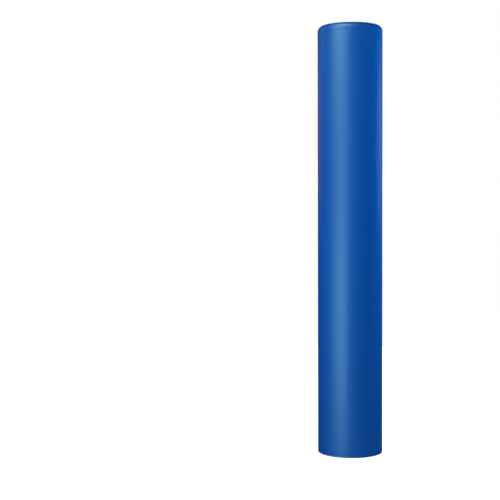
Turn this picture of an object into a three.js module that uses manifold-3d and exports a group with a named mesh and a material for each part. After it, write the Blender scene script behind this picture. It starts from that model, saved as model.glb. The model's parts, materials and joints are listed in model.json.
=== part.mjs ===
// A round padded sleeve for a pole, in millimetres with +Z up.
// Its bore runs along Z. Two half-round foam cores sit inside one vinyl cover. The cover's front, towards -Y,
// is their hinge. At the back, towards +Y, a slit lets the pole in, and a full-length hook-and-loop flap shuts it.
import * as THREE from "three";
import { mergeVertices } from "three/addons/utils/BufferGeometryUtils.js";
import Module from "manifold-3d";

const wasm = await Module();
wasm.setup();

// The bore and the pad as a whole
const postDiameter = 114.3;
const postSlack = 0.45; // all round, with the flap shut
const padHeight = 1190;

// Foam and sheets
const foamThickness = 30;
const coverSheet = 1; // coated vinyl round the outside
const liningSheet = 0.8; // woven cloth round the bore
const capSheet = 1; // coated vinyl over the ends
const facingSheet = 1; // coated vinyl over the cut faces of the foam
const layerGap = 0.3; // between layers that lie on each other
const splitGap = 0.6; // between the two halves

// Rounded ends
const shoulderRound = 16; // top, outside
const collarRound = 8; // top, round the bore
const footRound = 2; // bottom, both sides
const mostOfWallShare = 0.65; // of the wall, that the shoulder may take
const mostOfCapShare = 0.5; // of the bottom cap's height, that its rounding may take

// Seams between the end caps and the long walls
const topSeamDrop = 24; // below the top
const bottomSeamRise = 4.5; // above the bottom
const seamGap = 0.4;

// The closing flap and its hook-and-loop tapes. Widths are measured along the cover's outside.
const hookSheet = 1.2;
const loopSheet = 1.2;
const flapSheet = 1;
const tapeWidth = 50;
const tapeSetback = 8; // from the slit to the tape
const hingeSetback = 8; // from the slit to the line that the flap folds about, on its outer face
const hingeGap = 0.4; // between the sewn strip and the flap
const sewnStripWidth = 14;
const rampSetback = 2; // the flap has risen over the tapes this far before them
const fingerEdgeWidth = 9; // free edge past the tapes, to grip
const flapEndSetback = 5; // from the cap seams to the flap
const tapeEndSetback = 9; // from the flap's ends to the tapes
const flapCornerRound = 22;

// How finely curves are cut
const ringSegments = 64;
const shoulderSteps = 7;
const collarSteps = 4;
const footSteps = 2;
const cornerSteps = 6;
const rampSteps = 6;
const stepsPerTape = 8;

const overrun = 5; // how far a cutting block runs past what it cuts

// Radii and heights that follow
const boreRadius = postDiameter / 2 + postSlack;
const liningRadius = boreRadius + liningSheet;
const coverInnerRadius = liningRadius + layerGap + foamThickness + layerGap;
const padRadius = coverInnerRadius + coverSheet;
const wall = padRadius - boreRadius;
const topSeam = padHeight - topSeamDrop;
const bottomSeam = bottomSeamRise;

// Fillets never take more than the wall or the cap has room for
const shoulder = Math.min(shoulderRound, mostOfWallShare * wall, topSeamDrop);
const collar = Math.min(collarRound, wall - shoulder, topSeamDrop);
const foot = Math.min(footRound, mostOfCapShare * bottomSeamRise);

// Colours and finishes
const vinyl = () =>
  new THREE.MeshStandardMaterial({ color: 0x034698, roughness: 0.42, metalness: 0 });
const lining = () =>
  new THREE.MeshStandardMaterial({ color: 0x23262b, roughness: 0.85, metalness: 0 });
const foam = () =>
  new THREE.MeshStandardMaterial({ color: 0xe9ebec, roughness: 0.8, metalness: 0 });
const tape = () =>
  new THREE.MeshStandardMaterial({ color: 0x12233f, roughness: 0.9, metalness: 0 });

function part(name, geometry, material) {
  const mesh = new THREE.Mesh(geometry, material);
  mesh.name = name;
  return mesh;
}

// Solids for cutting, and back to geometry

function toSolid(geometry) {
  const bare = geometry.clone();
  bare.deleteAttribute("normal");
  bare.deleteAttribute("uv");
  const merged = mergeVertices(bare);
  return new wasm.Manifold(
    new wasm.Mesh({
      numProp: 3,
      vertProperties: new Float32Array(merged.attributes.position.array),
      triVerts: new Uint32Array(merged.index.array),
    }),
  );
}

function toGeometry(solid) {
  const mesh = solid.getMesh();
  return new THREE.BufferGeometry()
    .setAttribute("position", new THREE.BufferAttribute(mesh.vertProperties, 3))
    .setIndex(new THREE.BufferAttribute(mesh.triVerts, 1));
}

// Profiles in radius and height

function arc(centreRadius, centreHeight, radius, from, to, steps) {
  return Array.from({ length: steps + 1 }, (_, i) => {
    const angle = from + ((to - from) * i) / steps;
    return new THREE.Vector2(
      centreRadius + radius * Math.cos(angle),
      centreHeight + radius * Math.sin(angle),
    );
  });
}

// The rounded top of the wall, from the outside over to the bore, inset by the sheets that cover it
function topArch(outside, inside, above) {
  const outer = padRadius - outside;
  const inner = boreRadius + inside;
  const top = padHeight - above;
  const outerRound = shoulder - outside;
  const innerRound = collar - inside;
  return [
    ...arc(outer - outerRound, top - outerRound, outerRound, 0, Math.PI / 2, shoulderSteps),
    ...arc(inner + innerRound, top - innerRound, innerRound, Math.PI / 2, Math.PI, collarSteps),
  ];
}

// The bottom of the wall, from the bore out to the outside, inset likewise
function footArch(outside, inside, below) {
  const outer = padRadius - outside;
  const inner = boreRadius + inside;
  const outerRound = foot - outside;
  const innerRound = foot - inside;
  return [
    ...arc(inner + innerRound, below + innerRound, innerRound, Math.PI, 1.5 * Math.PI, footSteps),
    ...arc(outer - outerRound, below + outerRound, outerRound, 1.5 * Math.PI, 2 * Math.PI, footSteps),
  ];
}

const coreOutline = [
  ...footArch(coverSheet + layerGap, liningSheet + layerGap, capSheet + layerGap),
  ...topArch(coverSheet + layerGap, liningSheet + layerGap, capSheet + layerGap),
];

function topCapOutline() {
  const edge = topSeam + seamGap / 2;
  return [
    new THREE.Vector2(padRadius, edge),
    ...topArch(0, 0, 0),
    new THREE.Vector2(boreRadius, edge),
    new THREE.Vector2(liningRadius, edge),
    ...topArch(coverSheet, liningSheet, capSheet).reverse(),
    new THREE.Vector2(coverInnerRadius, edge),
  ];
}

function bottomCapOutline() {
  const edge = bottomSeam - seamGap / 2;
  return [
    new THREE.Vector2(boreRadius, edge),
    ...footArch(0, 0, 0),
    new THREE.Vector2(padRadius, edge),
    new THREE.Vector2(coverInnerRadius, edge),
    ...footArch(coverSheet, liningSheet, capSheet).reverse(),
    new THREE.Vector2(liningRadius, edge),
  ];
}

function longWallOutline(inner, outer) {
  const low = bottomSeam + seamGap / 2;
  const high = topSeam - seamGap / 2;
  return [
    new THREE.Vector2(inner, low),
    new THREE.Vector2(outer, low),
    new THREE.Vector2(outer, high),
    new THREE.Vector2(inner, high),
  ];
}

// A profile turned round the bore's axis, then cut to the half at +X of a plane
function halfRing(outline, setback) {
  const ring = new THREE.LatheGeometry([...outline, outline[0]], ringSegments);
  ring.rotateX(Math.PI / 2);
  const width = 2 * (padRadius + overrun);
  const height = padHeight + 2 * overrun;
  const block = new THREE.BoxGeometry(width, width, height);
  block.translate(setback + width / 2, 0, padHeight / 2);
  return toGeometry(toSolid(ring).intersect(toSolid(block)));
}

// A sheet over a cut face of the foam, standing in the plane of the slit
function facing() {
  const shape = new THREE.Shape(coreOutline);
  const sheet = new THREE.ExtrudeGeometry(shape, { depth: facingSheet, bevelEnabled: false });
  const across = new THREE.Matrix4().makeBasis(
    new THREE.Vector3(0, 1, 0),
    new THREE.Vector3(0, 0, 1),
    new THREE.Vector3(1, 0, 0),
  );
  return sheet.applyMatrix4(across);
}

// Everything that one half of the pad is made of, built at +X. The left half is the same one, turned round.
function halfPad(side) {
  const half = new THREE.Group();
  const isLeft = side === "left";
  const backFace = isLeft ? "hinge_facing" : "closing_facing";
  const frontFace = isLeft ? "closing_facing" : "hinge_facing";
  const faceX = splitGap / 2;
  const coreX = faceX + facingSheet + layerGap;

  half.add(part(`foam_core_${side}`, halfRing(coreOutline, coreX), foam()));
  half.add(
    part(`outer_cover_${side}`, halfRing(longWallOutline(coverInnerRadius, padRadius), faceX), vinyl()),
  );
  half.add(
    part(`lining_${side}`, halfRing(longWallOutline(boreRadius, liningRadius), faceX), lining()),
  );
  half.add(part(`top_cap_${side}`, halfRing(topCapOutline(), faceX), vinyl()));
  half.add(part(`bottom_cap_${side}`, halfRing(bottomCapOutline(), faceX), vinyl()));

  const back = part(`${backFace}_${side}`, facing(), vinyl());
  back.position.x = faceX;
  half.add(back);

  const front = part(`${frontFace}_${side}`, facing(), vinyl());
  front.rotation.z = Math.PI;
  front.position.x = faceX + facingSheet;
  half.add(front);

  half.rotation.z = isLeft ? Math.PI : 0;
  return half;
}

// Sheets that lie along the cover's back. An arc is measured along the cover, from the slit towards +X.

function onCover(radius, along) {
  const angle = along / padRadius;
  return new THREE.Vector2(radius * Math.sin(angle), radius * Math.cos(angle));
}

// A sheet between two heights, whose inner face has a given radius at each of its arcs
function curvedSheet(arcs, innerRadiusAt, sheet, low, high) {
  const outside = arcs.map((along) => onCover(innerRadiusAt(along) + sheet, along));
  const inside = arcs.map((along) => onCover(innerRadiusAt(along), along)).reverse();
  const shape = new THREE.Shape([...outside, ...inside]);
  const solid = new THREE.ExtrudeGeometry(shape, { depth: high - low, bevelEnabled: false });
  return solid.translate(0, 0, low);
}

function evenly(from, to, steps) {
  return Array.from({ length: steps + 1 }, (_, i) => from + ((to - from) * i) / steps);
}

const hookRadius = padRadius + layerGap;
const loopRadius = hookRadius + hookSheet + layerGap;
const flapRadius = loopRadius + loopSheet + layerGap;

const flapLow = bottomSeam + flapEndSetback;
const flapHigh = topSeam - flapEndSetback;
const tapeLow = flapLow + tapeEndSetback;
const tapeHigh = flapHigh - tapeEndSetback;

const tapeStart = tapeSetback;
const tapeEnd = tapeStart + tapeWidth;
const rampStart = -hingeSetback + hingeGap / 2;
const rampEnd = tapeStart - rampSetback;
const flapEnd = tapeEnd + fingerEdgeWidth;

// The flap's inner face climbs smoothly from the cover to the top of the two tapes
function flapInnerRadius(along) {
  const share = THREE.MathUtils.smoothstep(along, rampStart, rampEnd);
  return hookRadius + (flapRadius - hookRadius) * share;
}

// A block seen from the back as the flap is, with its two free corners rounded
function roundedFlapBlock() {
  const freeEdge = onCover(flapRadius, flapEnd).x;
  const round = Math.min(flapCornerRound, tapeWidth / 2);
  const low = flapLow + round;
  const high = flapHigh - round;
  const shape = new THREE.Shape([
    new THREE.Vector2(-padRadius, flapLow),
    ...arc(freeEdge - round, low, round, -Math.PI / 2, 0, cornerSteps),
    ...arc(freeEdge - round, high, round, 0, Math.PI / 2, cornerSteps),
    new THREE.Vector2(-padRadius, flapHigh),
  ]);
  const depth = flapRadius + flapSheet + overrun;
  const block = new THREE.ExtrudeGeometry(shape, { depth, bevelEnabled: false });
  const upright = new THREE.Matrix4().makeBasis(
    new THREE.Vector3(1, 0, 0),
    new THREE.Vector3(0, 0, 1),
    new THREE.Vector3(0, -1, 0),
  );
  return block.applyMatrix4(upright).translate(0, depth, 0);
}

function closure() {
  const group = new THREE.Group();

  const stripEnd = -hingeSetback - hingeGap / 2;
  const stripArcs = evenly(stripEnd - sewnStripWidth, stripEnd, 2);
  const strip = curvedSheet(stripArcs, () => hookRadius, flapSheet, flapLow, flapHigh);
  group.add(part("flap_sewn_strip", strip, vinyl()));

  const tapeArcs = evenly(tapeStart, tapeEnd, stepsPerTape);
  const hook = curvedSheet(tapeArcs, () => hookRadius, hookSheet, tapeLow, tapeHigh);
  group.add(part("hook_tape", hook, tape()));

  const loop = curvedSheet(tapeArcs, () => loopRadius, loopSheet, tapeLow, tapeHigh);
  group.add(part("loop_tape", loop, tape()));

  const rampArcs = evenly(rampStart, rampEnd, rampSteps);
  const flatArcs = evenly(rampEnd, flapEnd, stepsPerTape).slice(1);
  const sheet = curvedSheet([...rampArcs, ...flatArcs], flapInnerRadius, flapSheet, flapLow, flapHigh);
  const flap = toSolid(sheet).intersect(toSolid(roundedFlapBlock()));
  group.add(part("closing_flap", toGeometry(flap), vinyl()));
  return group;
}

const pad = new THREE.Group();
pad.add(halfPad("left"));
pad.add(halfPad("right"));
pad.add(closure());

export default pad;
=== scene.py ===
# %% [markdown]
# # A basketball pole pad
#
# The pad is a tall padded sleeve with a round bore. Two half-round foam cores sit in one skin of
# blue coated vinyl. The skin's front is the fold that the pad opens about, and a flap with
# hook-and-loop tape shuts the slit at its back. The CAD model holds the sizes and the joints. This
# script dresses it: every soft solid is replaced by a piece that is cut, wrapped, sewn and finished.
#
# The frame comes first. Everything below is placed from its boxes and joints, in metres, with +Z up
# and the pad's front towards -Y.

# %% Load the frame
import json
from math import cos, pi, radians, sin, tanh

import bpy
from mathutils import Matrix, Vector
from mathutils.bvhtree import BVHTree


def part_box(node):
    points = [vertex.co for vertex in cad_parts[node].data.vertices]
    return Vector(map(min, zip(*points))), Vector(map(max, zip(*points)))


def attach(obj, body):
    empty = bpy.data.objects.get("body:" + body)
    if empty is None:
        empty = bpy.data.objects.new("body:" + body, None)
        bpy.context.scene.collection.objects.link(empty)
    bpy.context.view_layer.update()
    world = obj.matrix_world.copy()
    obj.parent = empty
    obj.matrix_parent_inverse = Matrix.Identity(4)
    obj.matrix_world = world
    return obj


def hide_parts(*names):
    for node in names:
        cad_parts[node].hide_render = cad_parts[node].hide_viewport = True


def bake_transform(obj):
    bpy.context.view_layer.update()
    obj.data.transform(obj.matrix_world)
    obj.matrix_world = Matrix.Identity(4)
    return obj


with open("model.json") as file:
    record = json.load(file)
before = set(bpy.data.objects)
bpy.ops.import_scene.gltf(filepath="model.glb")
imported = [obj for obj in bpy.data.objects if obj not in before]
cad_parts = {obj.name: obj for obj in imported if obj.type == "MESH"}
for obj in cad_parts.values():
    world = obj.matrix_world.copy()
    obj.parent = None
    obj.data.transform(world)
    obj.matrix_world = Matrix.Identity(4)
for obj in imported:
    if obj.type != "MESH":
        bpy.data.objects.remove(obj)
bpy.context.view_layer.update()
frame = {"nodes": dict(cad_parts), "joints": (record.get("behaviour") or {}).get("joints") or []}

scene = bpy.context.scene
print("nodes to dress:", len(frame["nodes"]))

# %% [markdown]
# ## Sizes
#
# The pad's own sizes are read off the CAD pieces. They could all be typed again, but then a change of
# the CAD model would leave the dress behind. Only the thickness of its sheets and the rounding of its
# ends can't be read from a box, so they are repeated here. Further on, so are the places of the flap
# and the tapes along the cover.

# %% Read the pad's sizes off the frame
MM = 0.001
SHEET = 1.0 * MM
LINING_SHEET = 0.8 * MM
LAYER_GAP = 0.3 * MM
SHOULDER_ROUND = 16 * MM
COLLAR_ROUND = 8 * MM
FOOT_ROUND = 2 * MM

cover_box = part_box("outer_cover_right")
top_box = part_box("top_cap_right")
foot_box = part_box("bottom_cap_right")
pad_radius = cover_box[1].x
pad_height = top_box[1].z
slit_half = cover_box[0].x
wall_low = cover_box[0].z
wall_high = cover_box[1].z
bore_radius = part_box("lining_right")[1].x - LINING_SHEET
core_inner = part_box("lining_right")[1].x + LAYER_GAP
core_outer = pad_radius - SHEET - LAYER_GAP
print("radius", round(pad_radius / MM, 1), "bore", round(bore_radius / MM, 1), "mm")
print("height", round(pad_height / MM), "mm")

# %% [markdown]
# ## Camera
#
# A camera was fitted to the pad's outline in the photograph. It stands a little over three metres
# away with its lens above mid height, tilted down and rolled very slightly, and looks past the pad's
# left side, so the pad lands right of the middle. It could also look straight at the pad and shift
# its lens, but a turned camera keeps every other view centred.

# %% Place the camera
PHOTO_PIXELS = 500
SENSOR_WIDTH = 36.0
FOCAL_PIXELS = 1127.2
CAMERA_DISTANCE = 3.166
CAMERA_HEIGHT = 0.688
TURNED_LEFT = radians(5.067)
TILTED_DOWN = radians(2.169)
ROLLED = radians(0.204)

camera_data = bpy.data.cameras.new("photo_camera")
camera_data.sensor_width = SENSOR_WIDTH
camera_data.lens = FOCAL_PIXELS / PHOTO_PIXELS * SENSOR_WIDTH
camera = bpy.data.objects.new("photo_camera", camera_data)
camera.location = (0, -CAMERA_DISTANCE, CAMERA_HEIGHT)
camera.rotation_euler = (pi / 2 - TILTED_DOWN, ROLLED, TURNED_LEFT)
scene.collection.objects.link(camera)
scene.camera = camera
print("lens", round(camera_data.lens, 1), "mm")

# %% [markdown]
# ## Node trees in short lines
#
# Both the shapes and the finishes below are worked out by node trees. They could be wired by hand,
# a node and a link at a time, but a formula would then be hard to read. `Field` wraps one value of
# a tree, so that a formula written with Python's own signs adds the Math nodes that it needs.

# %% A value in a node tree
class Field:
    """One value in a node tree, to be used in a formula."""

    def __init__(self, tree, socket):
        self.tree = tree
        self.socket = socket

    def math(self, operation, *others):
        return value_of(self.tree, "ShaderNodeMath", [self, *others], operation=operation)

    def clamp(self):
        return value_of(self.tree, "ShaderNodeClamp", [self])

    def sine(self):
        return self.math("SINE")

    def __add__(self, other):
        return self.math("ADD", other)

    def __sub__(self, other):
        return self.math("SUBTRACT", other)

    def __mul__(self, other):
        return self.math("MULTIPLY", other)

    def __truediv__(self, other):
        return self.math("DIVIDE", other)

    def __neg__(self):
        return self.math("MULTIPLY", -1.0)

    def __rsub__(self, other):
        return -self + other

    __radd__ = __add__
    __rmul__ = __mul__


def feed(tree, socket, value):
    """Links a value to a socket, or sets the socket's own number. Nothing is done for None."""
    if isinstance(value, Field):
        tree.links.new(value.socket, socket)
    elif isinstance(value, bpy.types.NodeSocket):
        tree.links.new(value, socket)
    elif value is not None:
        socket.default_value = value


def add_node(tree, kind, inputs=None, **settings):
    """Adds a node. inputs is a list in the order of its sockets, or a dict by their names."""
    node = tree.nodes.new(kind)
    for name, value in settings.items():
        setattr(node, name, value)
    pairs = inputs.items() if isinstance(inputs, dict) else enumerate(inputs or [])
    for key, value in pairs:
        feed(tree, node.inputs[key], value)
    return node


def value_of(tree, kind, inputs=None, output=0, **settings):
    return Field(tree, add_node(tree, kind, inputs, **settings).outputs[output])


def join_xyz(tree, x=0.0, y=0.0, z=0.0):
    return value_of(tree, "ShaderNodeCombineXYZ", [x, y, z])


def split_xyz(tree, vector):
    node = add_node(tree, "ShaderNodeSeparateXYZ", [vector])
    return [Field(tree, socket) for socket in node.outputs]


def noise(tree, vector, scale=1.0, detail=2.0):
    """Smooth noise, from about -0.5 to 0.5. Twice that is from -1 to 1."""
    sampled = {"Vector": vector, "Scale": scale, "Detail": detail}
    return value_of(tree, "ShaderNodeTexNoise", sampled) - 0.5


def fade(distance, reach):
    """1 at no distance, falling off smoothly over about the reach."""
    return (-distance / reach).math("EXPONENT")


NEARLY_ZERO = 1e-6


def rounding(distance, radius):
    """How far an edge that is rounded to this radius has dropped, at a distance from it."""
    share = (1.0 - distance / (radius + NEARLY_ZERO)).clamp()
    return (1.0 - (1.0 - share * share).math("SQRT")) * radius


def crowded(share, turns, crowding):
    """Moves evenly spread shares closer together at both ends of each turn."""
    wave = turns * (2 * pi)
    return share - (share * wave).sine() * crowding / wave


# %% [markdown]
# A shape tree is put on a line of points by a modifier. Every tree here starts and ends alike, and
# those that make a sheet start from a flat grid, whose points are then moved to their places. A sheet
# could also be modelled by hand, but a tree can be given new numbers and makes the next one.

# %% Starting and ending a shape tree
SOCKET_KINDS = {float: "NodeSocketFloat", int: "NodeSocketInt"}


def new_shape_tree(name, numbers):
    """A geometry tree with a mesh and a material as inputs, and these numbers with their defaults."""
    tree = bpy.data.node_groups.new(name, "GeometryNodeTree")
    tree.interface.new_socket("Geometry", in_out="INPUT", socket_type="NodeSocketGeometry")
    for label, default in numbers.items():
        made = tree.interface.new_socket(label, in_out="INPUT", socket_type=SOCKET_KINDS[type(default)])
        made.default_value = default
    tree.interface.new_socket("Material", in_out="INPUT", socket_type="NodeSocketMaterial")
    tree.interface.new_socket("Geometry", in_out="OUTPUT", socket_type="NodeSocketGeometry")
    source = tree.nodes.new("NodeGroupInput")
    return tree, {socket.name: Field(tree, socket) for socket in source.outputs if socket.name}


def end_shape_tree(tree, given, geometry):
    """Every shape tree ends alike: instances made real, smooth faces, one material."""
    real = add_node(tree, "GeometryNodeRealizeInstances", [geometry])
    smooth = add_node(tree, "GeometryNodeSetShadeSmooth", {"Geometry": real.outputs[0]})
    painted = add_node(tree, "GeometryNodeSetMaterial", {"Geometry": smooth.outputs[0]})
    feed(tree, painted.inputs["Material"], given["Material"])
    end = tree.nodes.new("NodeGroupOutput")
    feed(tree, end.inputs[0], painted.outputs[0])
    print(tree.name, "has", len(tree.nodes), "nodes")


def new_grid(tree, given):
    """A flat grid to bend into a sheet, and the shares of the way across and up at each point."""
    cut = {"Size X": 1.0, "Size Y": 1.0, "Vertices X": given["Columns"], "Vertices Y": given["Rows"]}
    grid = add_node(tree, "GeometryNodeMeshGrid", cut)
    across, up, _ = split_xyz(tree, value_of(tree, "GeometryNodeInputPosition"))
    column = crowded(across + 0.5, given["Column turns"], given["Column crowding"])
    row = crowded(up + 0.5, given["Row turns"], given["Row crowding"])
    return grid.outputs[0], column, row


def along_path(tree, given, share):
    """The point and the direction at a share of the way along the line that the tree is put on."""
    path = add_node(tree, "GeometryNodeMeshToCurve", [given["Geometry"]]).outputs[0]
    length = value_of(tree, "GeometryNodeCurveLength", [path])
    sample = add_node(tree, "GeometryNodeSampleCurve", {"Curves": path, "Factor": share}, mode="FACTOR")
    point = split_xyz(tree, sample.outputs["Position"])
    return point, split_xyz(tree, sample.outputs["Tangent"]), length


def bend_grid(tree, given, grid, final, across, along):
    """Moves the grid's points to their places. Its UV map's unit is the metre, as a weave needs."""
    flat = {"Geometry": grid, "Name": "UVMap"}
    kind = {"data_type": "FLOAT2", "domain": "CORNER"}
    mapped = add_node(tree, "GeometryNodeStoreNamedAttribute", flat, **kind)
    feed(tree, mapped.inputs["Value"], join_xyz(tree, across, along))
    moved = add_node(tree, "GeometryNodeSetPosition", {"Geometry": mapped.outputs[0], "Position": final})
    end_shape_tree(tree, given, moved.outputs[0])


GRID_NUMBERS = {
    "Columns": 100,
    "Rows": 100,
    "Column turns": 1,
    "Row turns": 1,
    "Column crowding": 0.0,
    "Row crowding": 0.0,
}


# %% [markdown]
# What a tree makes is taken as a plain mesh. The modifier could stay on the piece, but a plain mesh
# can be swelled, thickened and asked for its points, and nothing changes it afterwards.

# %% From a tree to a finished piece
CREASE = radians(50)


def plain_piece(source, name):
    """The evaluated source as a plain mesh object at the origin. The source is removed."""
    graph = bpy.context.evaluated_depsgraph_get()
    mesh = bpy.data.meshes.new_from_object(source.evaluated_get(graph))
    bpy.data.objects.remove(source)
    mesh.name = name
    piece = bpy.data.objects.new(name, mesh)
    scene.collection.objects.link(piece)
    return piece


def grow(name, points, tree, material, **numbers):
    """Puts a tree on a line of points, and returns what it makes as a plain piece."""
    mesh = bpy.data.meshes.new(name)
    mesh.from_pydata(points, [(i, i + 1) for i in range(len(points) - 1)], [])
    line = bpy.data.objects.new(name, mesh)
    scene.collection.objects.link(line)
    modifier = line.modifiers.new("shape", "NODES")
    modifier.node_group = tree
    sockets = {label.replace(" ", "_").lower(): made for label, made in tree.interface.items_tree.items()}
    for key, value in {**numbers, "material": material}.items():
        modifier[sockets[key].identifier] = value
    return plain_piece(line, name)


def thicken(piece, thickness):
    """Gives a sheet its thickness, on the side that its faces turn away from."""
    wall = piece.modifiers.new("wall", "SOLIDIFY")
    wall.thickness = thickness
    wall.offset = -1
    wall.use_even_offset = True
    made = plain_piece(piece, piece.name)
    made.data.set_sharp_from_angle(angle=CREASE)
    return made


def hand_over(piece, nodes=(), body=None, fold=None):
    """Tells the frame what carries a piece and the solids that it stands for."""
    if body:
        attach(piece, body)
    if fold:
        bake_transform(piece)
    if nodes:
        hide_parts(*nodes)
    print(piece.name, "has", len(piece.data.polygons), "faces")


# %% [markdown]
# ## Finishes
#
# The vinyl is a plastic skin on a cloth backing. Its colour is nearly even, its gloss is a soft
# satin, and close up it has a very fine pebbled grain. Pictures of real vinyl could be wrapped round
# the pad, but they would repeat and show their seams. Three shader groups give what the finishes
# share instead: the grain, a slow drift of colour and gloss, and a woven cloth.

# %% Shared shader groups
def new_shader_group(name, numbers, output):
    """A group with one vector input, these numbers with their defaults, and one number put out."""
    group = bpy.data.node_groups.new(name, "ShaderNodeTree")
    group.interface.new_socket("Coordinates", in_out="INPUT", socket_type="NodeSocketVector")
    for label, default in numbers.items():
        made = group.interface.new_socket(label, in_out="INPUT", socket_type="NodeSocketFloat")
        made.default_value = default
    group.interface.new_socket(output, in_out="OUTPUT", socket_type="NodeSocketFloat")
    start = group.nodes.new("NodeGroupInput")
    end = group.nodes.new("NodeGroupOutput")
    return group, {socket.name: Field(group, socket) for socket in start.outputs if socket.name}, end


CELL_DISORDER = 0.9
PORES_PER_CELL = 2.5
PORE_SHARE = 0.3
DRIFT_DETAIL = 4.0
WEAVE_CRISPNESS = 4.0


def build_grain():
    """Pebbled grain: rounded cells with finer pores between them."""
    group, given, end = new_shader_group("fine_grain", {"Cells per metre": 900.0}, "Height")
    scale = given["Cells per metre"]
    sampled = {"Vector": given["Coordinates"], "Scale": scale, "Randomness": CELL_DISORDER}
    cells = value_of(group, "ShaderNodeTexVoronoi", sampled, feature="F1")
    pores = noise(group, given["Coordinates"], scale * PORES_PER_CELL)
    height = (1.0 - cells) * (1.0 - PORE_SHARE) + pores * PORE_SHARE
    feed(group, end.inputs["Height"], height)
    return group


def build_drift():
    """A slow change over the surface, for colour and gloss, between 0 and 1."""
    numbers = {"Patches per metre": 6.0, "Contrast": 1.6}
    group, given, end = new_shader_group("slow_drift", numbers, "Mask")
    patches = noise(group, given["Coordinates"], given["Patches per metre"], DRIFT_DETAIL)
    feed(group, end.inputs["Mask"], (patches * given["Contrast"] + 0.5).clamp())
    return group


def build_weave():
    """Plain weave on a flat map in metres: warp and weft pass over each other in turn."""
    group, given, end = new_shader_group("plain_weave", {"Threads per metre": 1100.0}, "Height")
    across, along, _ = split_xyz(group, given["Coordinates"])
    turn = given["Threads per metre"] * pi
    warp = (across * turn).sine().math("ABSOLUTE")
    weft = (along * turn).sine().math("ABSOLUTE")
    checks = (across * turn * 0.5).sine() * (along * turn * 0.5).sine()
    warp_over = (checks * WEAVE_CRISPNESS + 0.5).clamp()
    feed(group, end.inputs["Height"], warp * warp_over + weft * (1.0 - warp_over))
    return group


fine_grain = build_grain()
slow_drift = build_drift()
plain_weave = build_weave()
print("shader groups:", fine_grain.name, slow_drift.name, plain_weave.name)


# %% [markdown]
# Each finish is one Principled shader. What is even all over is set on the shader's own sockets, and
# only what varies comes from a tree, so that the finish is quick to read and to change.

# %% Helpers for a material
def new_material(name, **surface):
    """A material with one Principled shader, whose even values are set on its own sockets."""
    material = bpy.data.materials.new(name)
    material.use_nodes = True
    tree = material.node_tree
    shader = tree.nodes["Principled BSDF"]
    for label, value in surface.items():
        shader.inputs[label.replace("_", " ")].default_value = value
    return material, tree, shader


def place_group(tree, group, coordinates, **numbers):
    """Places a shared group in a material, and returns what it puts out."""
    node = add_node(tree, "ShaderNodeGroup", node_tree=group)
    feed(tree, node.inputs["Coordinates"], coordinates)
    for label, value in numbers.items():
        feed(tree, node.inputs[label.replace("_", " ")], value)
    return Field(tree, node.outputs[0])


def coordinates_of(tree, kind="Object"):
    return tree.nodes.new("ShaderNodeTexCoord").outputs[kind]


def shade_between(tree, mask, dark, light):
    """A colour between two, by a mask."""
    mix = add_node(tree, "ShaderNodeMix", [mask], data_type="RGBA")
    dark_socket, light_socket = [s for s in mix.inputs if s.type == "RGBA"]
    dark_socket.default_value = (*dark, 1)
    light_socket.default_value = (*light, 1)
    return next(s for s in mix.outputs if s.type == "RGBA")


def add_bump(tree, shader, height, depth, strength):
    """Relief in the finish: a height from 0 to 1 stands for this depth."""
    relief = {"Height": height, "Distance": depth, "Strength": strength}
    bump = add_node(tree, "ShaderNodeBump", relief)
    tree.links.new(bump.outputs["Normal"], shader.inputs["Normal"])


# %% [markdown]
# The vinyl's blue hardly reflects red, and its shine holds little red either, as in the photograph.
# The thread is a little lighter, and twisted. Both could read a flat map, but the grain would then
# stretch over the rounded ends, so they read their place on the pad.

# %% The vinyl and its thread
VINYL_BLUE = (0.0001, 0.0449, 0.2335)
VINYL_BLUE_LIGHT = (0.0002, 0.0477, 0.2450)
VINYL_GLOSS = {"Specular_Tint": (0.385, 0.850, 0.500, 1.0), "Specular_IOR_Level": 0.75}
VINYL_ROUGHNESS, ROUGHNESS_DRIFT = 0.42, 0.03
GRAIN_DEPTH = 0.05 * MM
THREAD_BLUE = (0.0030, 0.0500, 0.2500, 1)
THREAD_TWIST = 0.5 * MM
THREAD_RELIEF = 0.05 * MM


def make_vinyl():
    material, tree, shader = new_material("coated_vinyl", **VINYL_GLOSS)
    place = coordinates_of(tree)
    drift = place_group(tree, slow_drift, place)
    grain = place_group(tree, fine_grain, place)
    feed(tree, shader.inputs["Base Color"], shade_between(tree, drift, VINYL_BLUE, VINYL_BLUE_LIGHT))
    feed(tree, shader.inputs["Roughness"], drift * ROUGHNESS_DRIFT + VINYL_ROUGHNESS)
    add_bump(tree, shader, grain, GRAIN_DEPTH, strength=0.5)
    return material


def make_thread():
    material, tree, shader = new_material("sewing_thread", Roughness=0.6, Base_Color=THREAD_BLUE)
    x, y, z = split_xyz(tree, coordinates_of(tree))
    twist = ((x + y + z) * (2 * pi / THREAD_TWIST)).sine()
    add_bump(tree, shader, twist, THREAD_RELIEF, strength=0.6)
    return material


vinyl = make_vinyl()
thread = make_thread()
print("finishes:", vinyl.name, thread.name)

# %% [markdown]
# The lining is a dull woven cloth, nearly black. The foam is white and full of tiny closed cells.
# The tapes are nylon: stiff and a little shiny where it forms hooks, dull and soft where it forms
# loops. Even colours would do from afar, but not when the pad is open. The weave reads the sheet's
# own flat map, so that its threads run along the cloth.

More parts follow.
